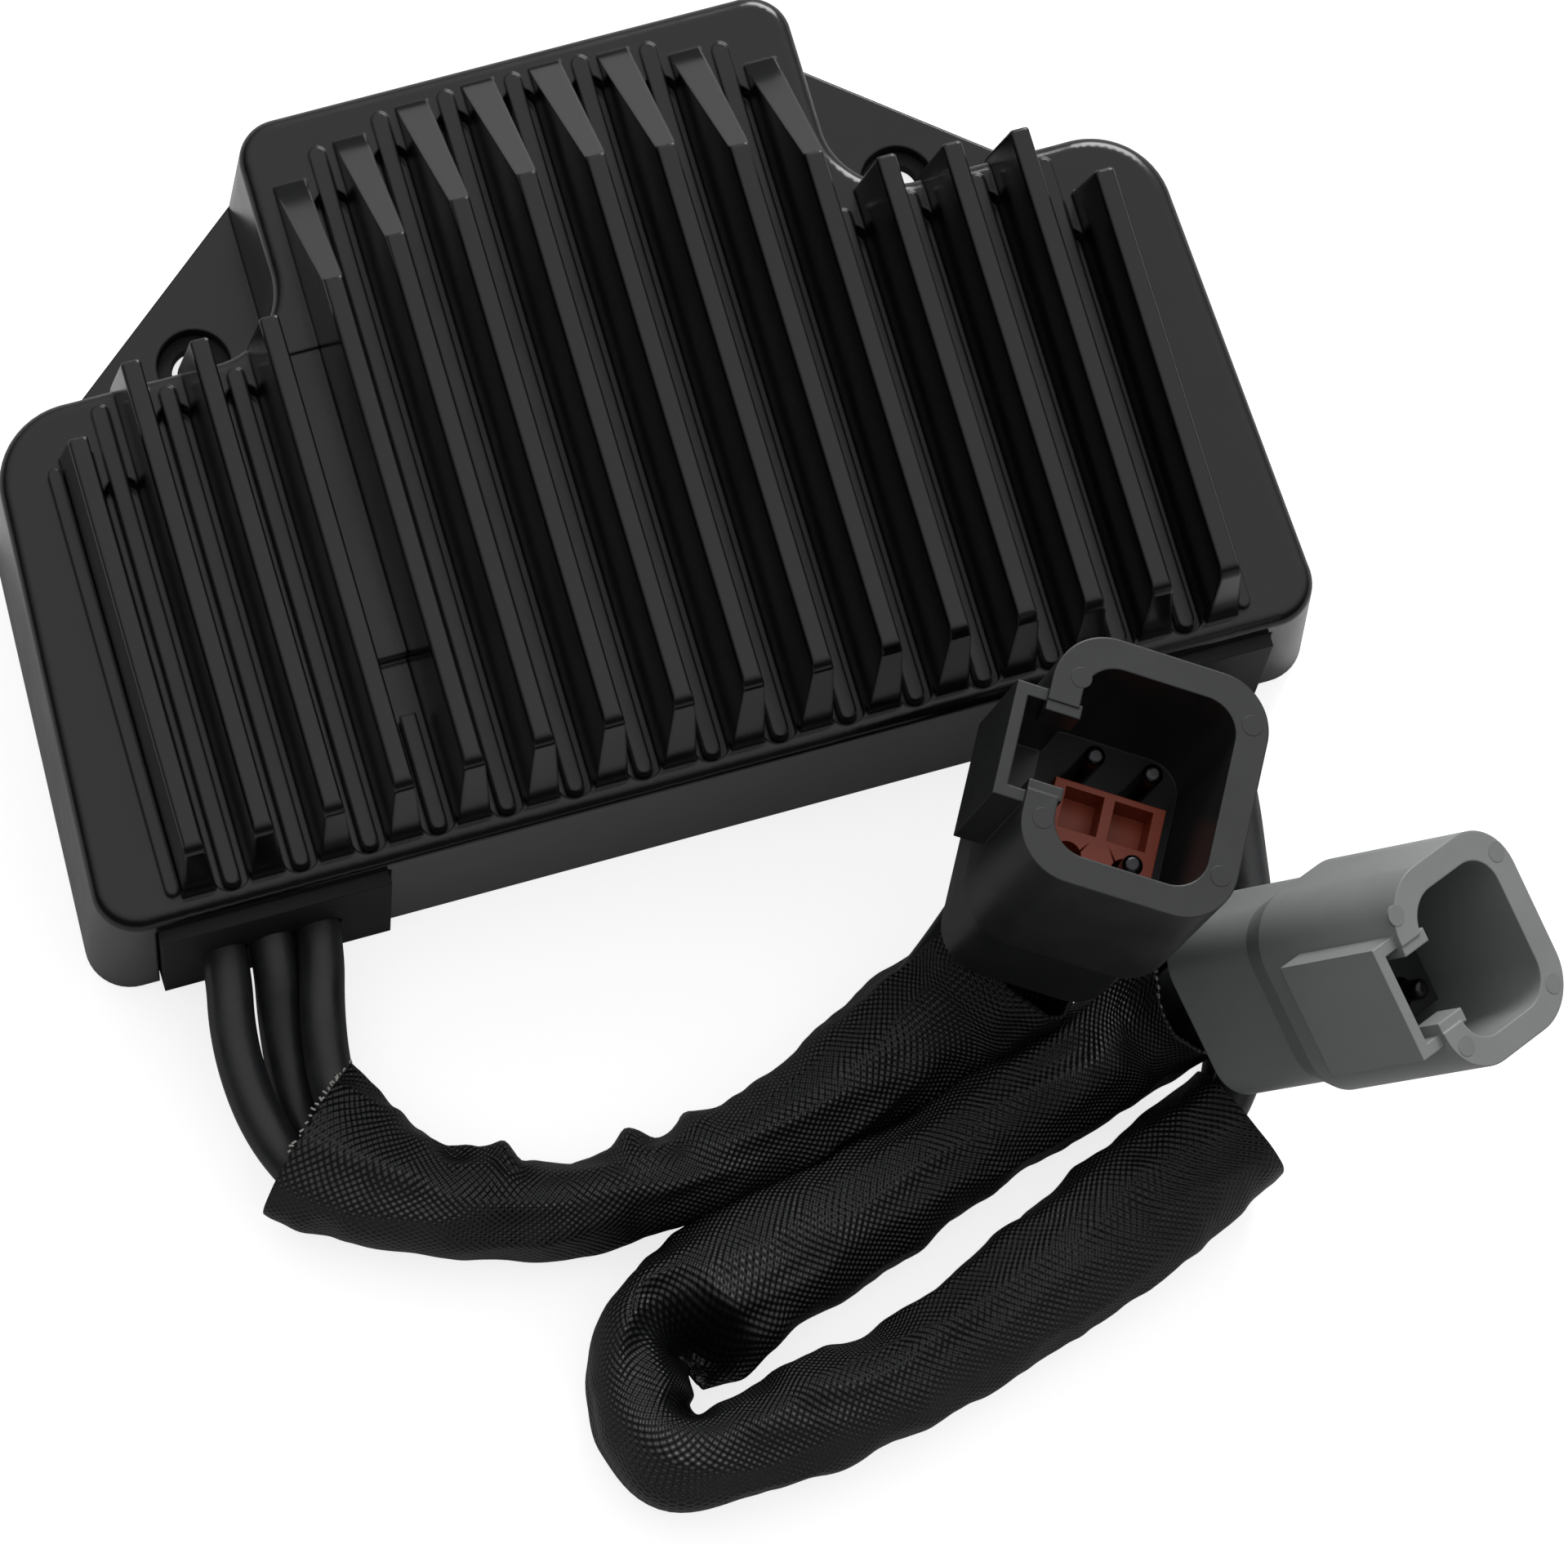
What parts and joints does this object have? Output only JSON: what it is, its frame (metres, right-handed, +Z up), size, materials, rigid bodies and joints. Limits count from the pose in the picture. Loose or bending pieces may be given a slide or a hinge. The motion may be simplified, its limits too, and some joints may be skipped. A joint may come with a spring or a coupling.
{
  "type": "voltage regulator rectifier",
  "caption": "Finned hat-shaped regulator rectifier with mounting ears and two sleeved leads that end in sealed connectors.",
  "frame": {"origin": "on the floor plane that the back of the housing lies on, under the middle of the housing without its leads", "axes": "+X across the fins, +Y towards the narrow end with the ears, +Z up from the back face to the fins"},
  "size_m": [0.1925, 0.2081, 0.0824],
  "materials": {
    "cast_housing": "gloss black coating on a fine sand-cast surface",
    "rubber_black": "satin moulded rubber",
    "cable_jacket": "satin insulated lead",
    "woven_sleeve": "basket-woven sleeving",
    "connector_black": "satin moulded nylon",
    "connector_grey": "satin moulded nylon",
    "wedge_orange": "moulded locking wedge",
    "seal_rubber": "soft silicone",
    "pin_metal": "nickel-plated pins",
    "board_laminate": "solder-masked laminate",
    "device_epoxy": "moulded epoxy",
    "terminal_metal": "tinned blades",
    "potting_resin": "cast resin"
  },
  "bodies": {
    "root": {"heatsink_body": "cast_housing", "mounting_bush_left": "rubber_black", "mounting_bush_right": "rubber_black", "gland_left": "rubber_black", "gland_right": "rubber_black", "stator_cable_1": "cable_jacket", "stator_cable_2": "cable_jacket", "stator_cable_3": "cable_jacket", "output_cable_1": "cable_jacket", "output_cable_2": "cable_jacket", "stator_sleeve": "woven_sleeve", "output_sleeve": "woven_sleeve", "stator_connector_shell": "connector_black", "output_connector_shell": "connector_grey", "stator_connector_wedge": "wedge_orange", "output_connector_wedge": "wedge_orange", "stator_connector_seal": "seal_rubber", "output_connector_seal": "seal_rubber", "stator_pin_1": "pin_metal", "stator_pin_2": "pin_metal", "stator_pin_3": "pin_metal", "output_pin_1": "pin_metal", "output_pin_2": "pin_metal", "circuit_board": "board_laminate", "control_chip": "device_epoxy", "smoothing_capacitor": "device_epoxy", "board_terminals": "terminal_metal", "potting_fill": "potting_resin", "power_device_1": "device_epoxy", "power_device_2": "device_epoxy", "power_device_3": "device_epoxy", "power_device_4": "device_epoxy", "power_device_5": "device_epoxy", "power_device_6": "device_epoxy"}
  },
  "joints": []
}
